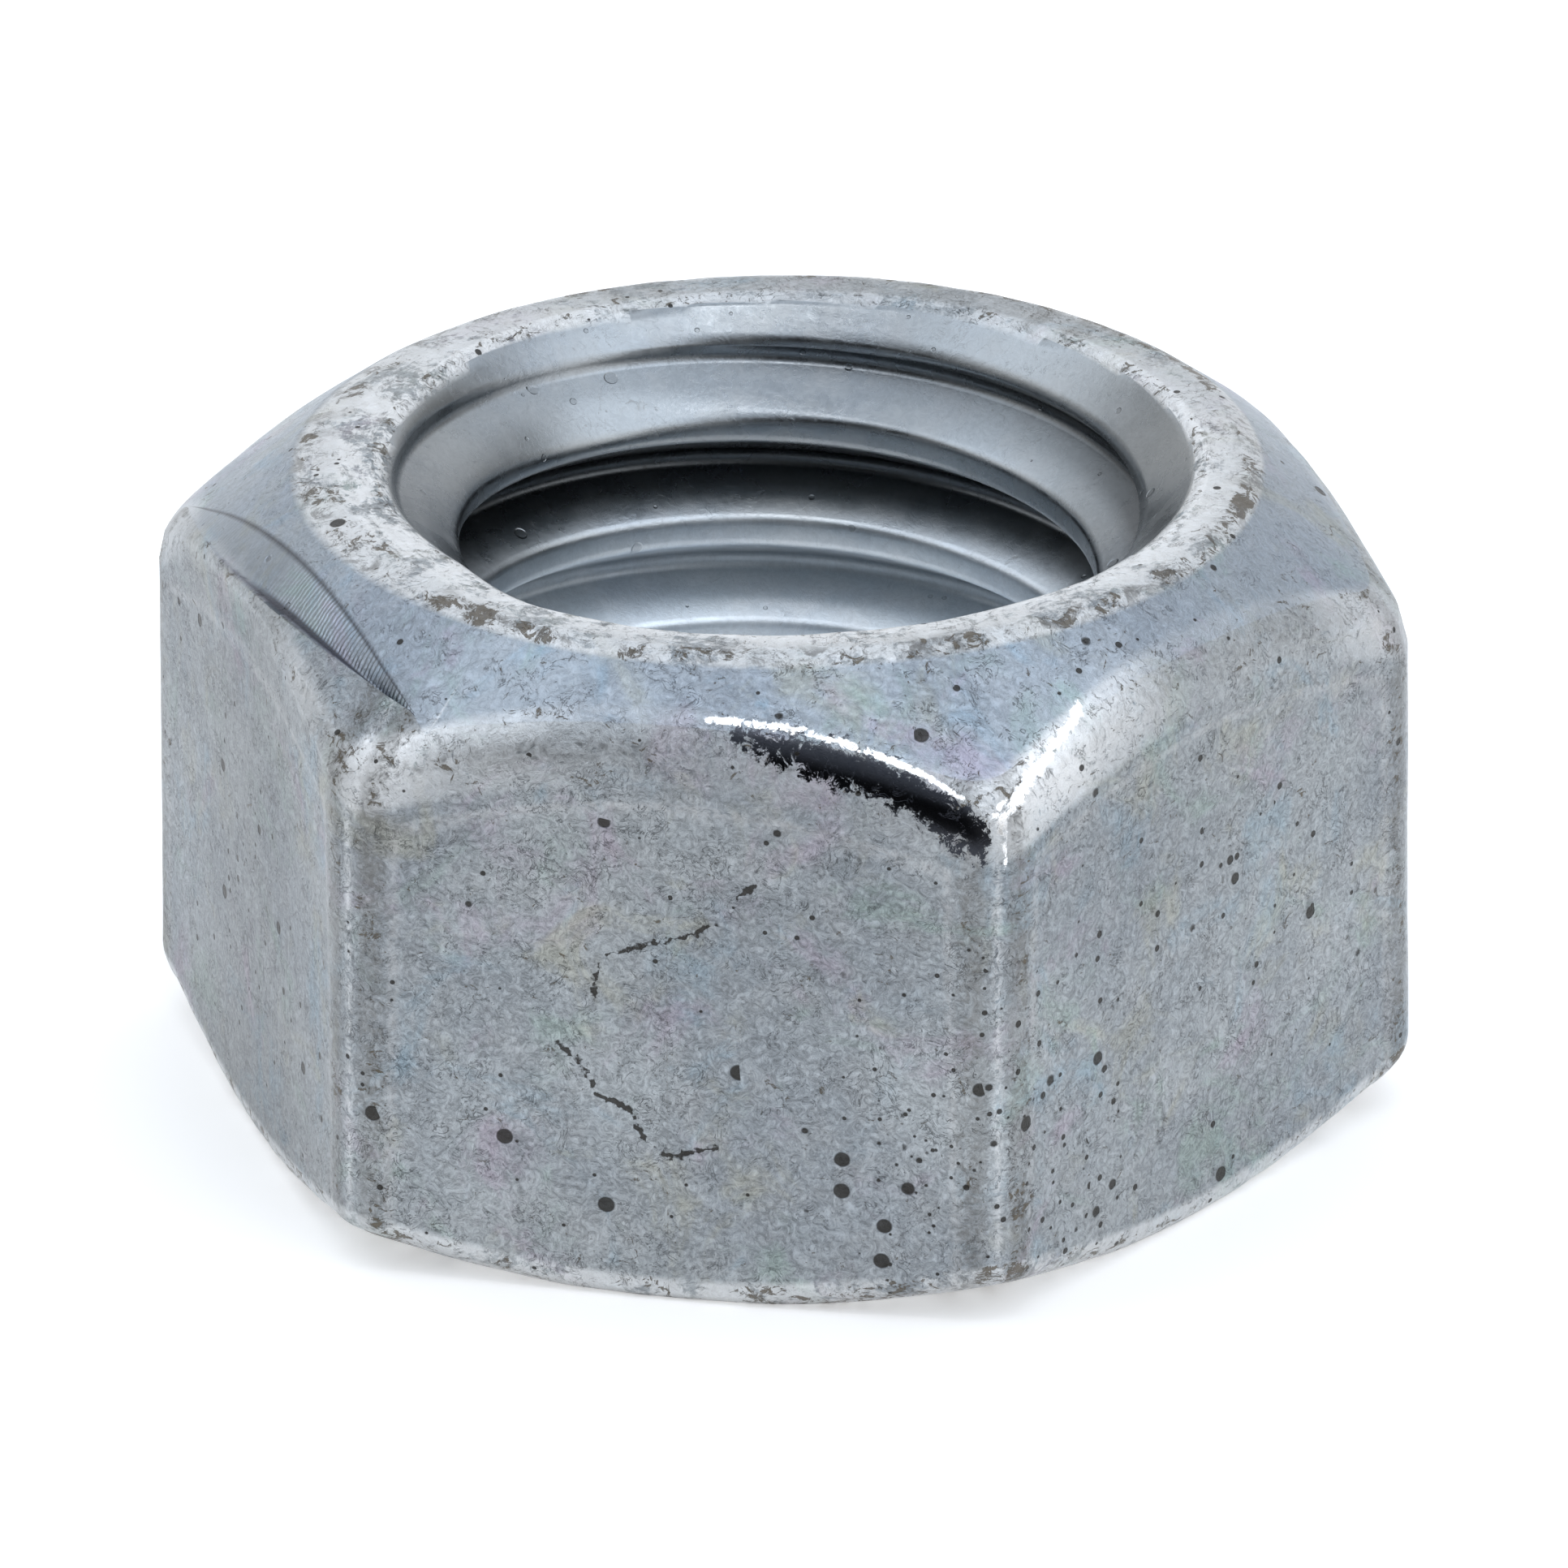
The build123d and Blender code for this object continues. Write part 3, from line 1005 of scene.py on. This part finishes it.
        # painted shade in the creases along the die mark's sides
        colour = self.mix(m["brink"] * 0.9, colour, MARK_CREASE_SHADE)
        torn = self.ramp(self.noise(self.mm, 4.2, 5.0, 0.8, 0.5), 0.30, 0.70, -0.20, 0.22)
        # painted dark reflection: a black band under the first glint on the top edge
        painted_dark_reflection = self.ramp(m["band"] + torn, -0.02, 0.10)
        colour = self.mix(painted_dark_reflection * 0.95, colour, PAINTED_DARK_REFLECTION)
        broken = self.ramp(self.scuff, 0.30, 0.70, -0.55, 0.35)
        # painted highlight: white glints along the top edge and up the right-hand corner
        painted_highlight = self.ramp(m["glint"] + broken, 0.05, 0.45)
        colour = self.mix(painted_highlight, colour, PAINTED_HIGHLIGHT)
        holes = self.most(self.pits(), self.laps())
        colour = self.mix(holes * 0.92, colour, HOLE)

        gloss = self.most(painted_dark_reflection, painted_highlight)
        rough = self.ramp(self.patchy, 0.3, 0.7, 0.28, 0.38) + wear_and_highlight * 0.10
        rough = rough + m["bore"] * self.ramp(self.z, 8.4, 6.4, -0.06, 0.14)
        rough = rough * (1.0 - gloss) + gloss * 0.20
        bump = self.node("ShaderNodeBump", {"Strength": 1.0, "Distance": BUMP_HEIGHT,
                                            "Height": self.height(specks, hairs, gloss, holes)})
        metal = self.node("ShaderNodeBsdfPrincipled", {"Base Color": colour, "Metallic": 1.0,
                                                       "Roughness": rough, "Normal": bump.outputs[0]})
        self.node("ShaderNodeOutputMaterial", {"Surface": metal.outputs[0]})
        return self.material


body = make_body()
body.data.materials.append(Zinc().build())
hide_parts(NODE)
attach(body, "root")


# --- studio ---

FLOOR_REACH = 1.5            # metres, as are the light's and the camera's distances
# the world's soft lights: azimuth, elevation, full inside, gone outside, strength
OVERHEAD = (0, 90, 24, 70, 0.64)
SIDE_LIGHTS = ((101, 32, 12, 60, 0.80), (-10, 42, 12, 40, 1.45), (-168, 42, 10, 36, 1.25))
SHADE = (-101, 14, 24, 46, 0.70)
AMBIENT, EXPOSURE = 0.40, 0.78
HORIZON_FROM, HORIZON_TO, HORIZON = 3.2, 2.2, 1.1
OVERHEAD_TINT = (0.91, 0.99, 1.09, 1)
WHITE = (1.0, 1.0, 1.0, 1)


def direction(azimuth, elevation):
    """Unit vector towards a direction in degrees."""
    a, e = math.radians(azimuth), math.radians(elevation)
    return Vector((math.cos(e) * math.cos(a), math.cos(e) * math.sin(a), math.sin(e)))


def floor_material():
    made = bpy.data.materials.new("paper")
    made.use_nodes = True
    inputs = made.node_tree.nodes["Principled BSDF"].inputs
    inputs["Base Color"].default_value = (0.85, 0.85, 0.85, 1)
    inputs["Emission Color"].default_value = WHITE
    inputs["Emission Strength"].default_value = 0.38
    inputs["Roughness"].default_value = 0.9
    inputs["Specular IOR Level"].default_value = 0.1
    return made


def lay_floor():
    corners = [(x * FLOOR_REACH, y * FLOOR_REACH, 0) for x, y in ((-1, -1), (1, -1), (1, 1), (-1, 1))]
    mesh = bpy.data.meshes.new("floor")
    mesh.from_pydata(corners, [], [(0, 1, 2, 3)])
    floor = bpy.data.objects.new("floor", mesh)
    floor.location.z = cad_low.z
    floor.data.materials.append(floor_material())
    bpy.context.scene.collection.objects.link(floor)


def world_light():
    """Soft studio round the object: bright overhead, behind and at the sides, dark low in front."""
    world = bpy.data.worlds.new("studio")
    bpy.context.scene.world = world
    s = Shader(world)
    way = s.node("ShaderNodeTexCoord").outputs["Generated"]

    def lobe(azimuth, elevation, inner, outer, strength=1.0):
        facing = s.measure("DOT_PRODUCT", way, direction(azimuth, elevation))
        glow = s.ramp(facing, math.cos(math.radians(outer)), math.cos(math.radians(inner)))
        return glow * strength

    light = AMBIENT + lobe(*OVERHEAD)
    for side_light in SIDE_LIGHTS:
        light = light + lobe(*side_light)
    light = light * (EXPOSURE - lobe(*SHADE))
    # the floor runs on into a white horizon
    rise = abs(s.axes(way)[2])
    low, high = math.sin(math.radians(HORIZON_TO)), math.sin(math.radians(HORIZON_FROM))
    light = s.most(light, s.ramp(rise, high, low, 0.0, HORIZON))
    colour = s.mix(lobe(0, 90, 20, 80), WHITE, OVERHEAD_TINT)
    background = s.node("ShaderNodeBackground", {"Color": colour, "Strength": light})
    s.node("ShaderNodeOutputWorld", {"Surface": background.outputs[0]})


def strip_light(azimuth, elevation, distance, length, width, power):
    """A long soft light over the camera, level and aimed at the nut."""
    data = bpy.data.lights.new("strip", "AREA")
    data.shape, data.size, data.size_y = "RECTANGLE", length, width
    data.energy = power
    lamp = bpy.data.objects.new("strip", data)
    away = direction(azimuth, elevation)
    lamp.location = away * distance
    lamp.rotation_mode = "QUATERNION"
    lamp.rotation_quaternion = away.to_track_quat("Z", "Y")
    bpy.context.scene.collection.objects.link(lamp)


def aim_camera(azimuth, elevation, distance, roll, lens_length):
    """A long lens looking a little down at the nut, with one flat and one corner towards it."""
    data = bpy.data.cameras.new("camera")
    data.sensor_width = 36
    data.lens = lens_length
    data.shift_x, data.shift_y = 0.00335, -0.0188
    data.clip_start, data.clip_end = 0.01, 5
    data.dof.use_dof = False
    camera = bpy.data.objects.new("camera", data)
    away = direction(azimuth, elevation)
    camera.location = Vector((0, 0, HEIGHT / 2 * MM)) + away * distance
    camera.rotation_mode = "QUATERNION"
    tilt = Matrix.Rotation(math.radians(roll), 3, "Z").to_quaternion()
    camera.rotation_quaternion = away.to_track_quat("Z", "Y") @ tilt
    bpy.context.scene.collection.objects.link(camera)
    bpy.context.scene.camera = camera


lay_floor()
world_light()
strip_light(azimuth=-78, elevation=73, distance=0.5, length=0.30, width=0.045, power=0.24)
aim_camera(azimuth=-79.118, elevation=25.196, distance=0.18623, roll=-0.2155, lens_length=252.2)
bpy.context.scene.view_settings.view_transform = "Standard"
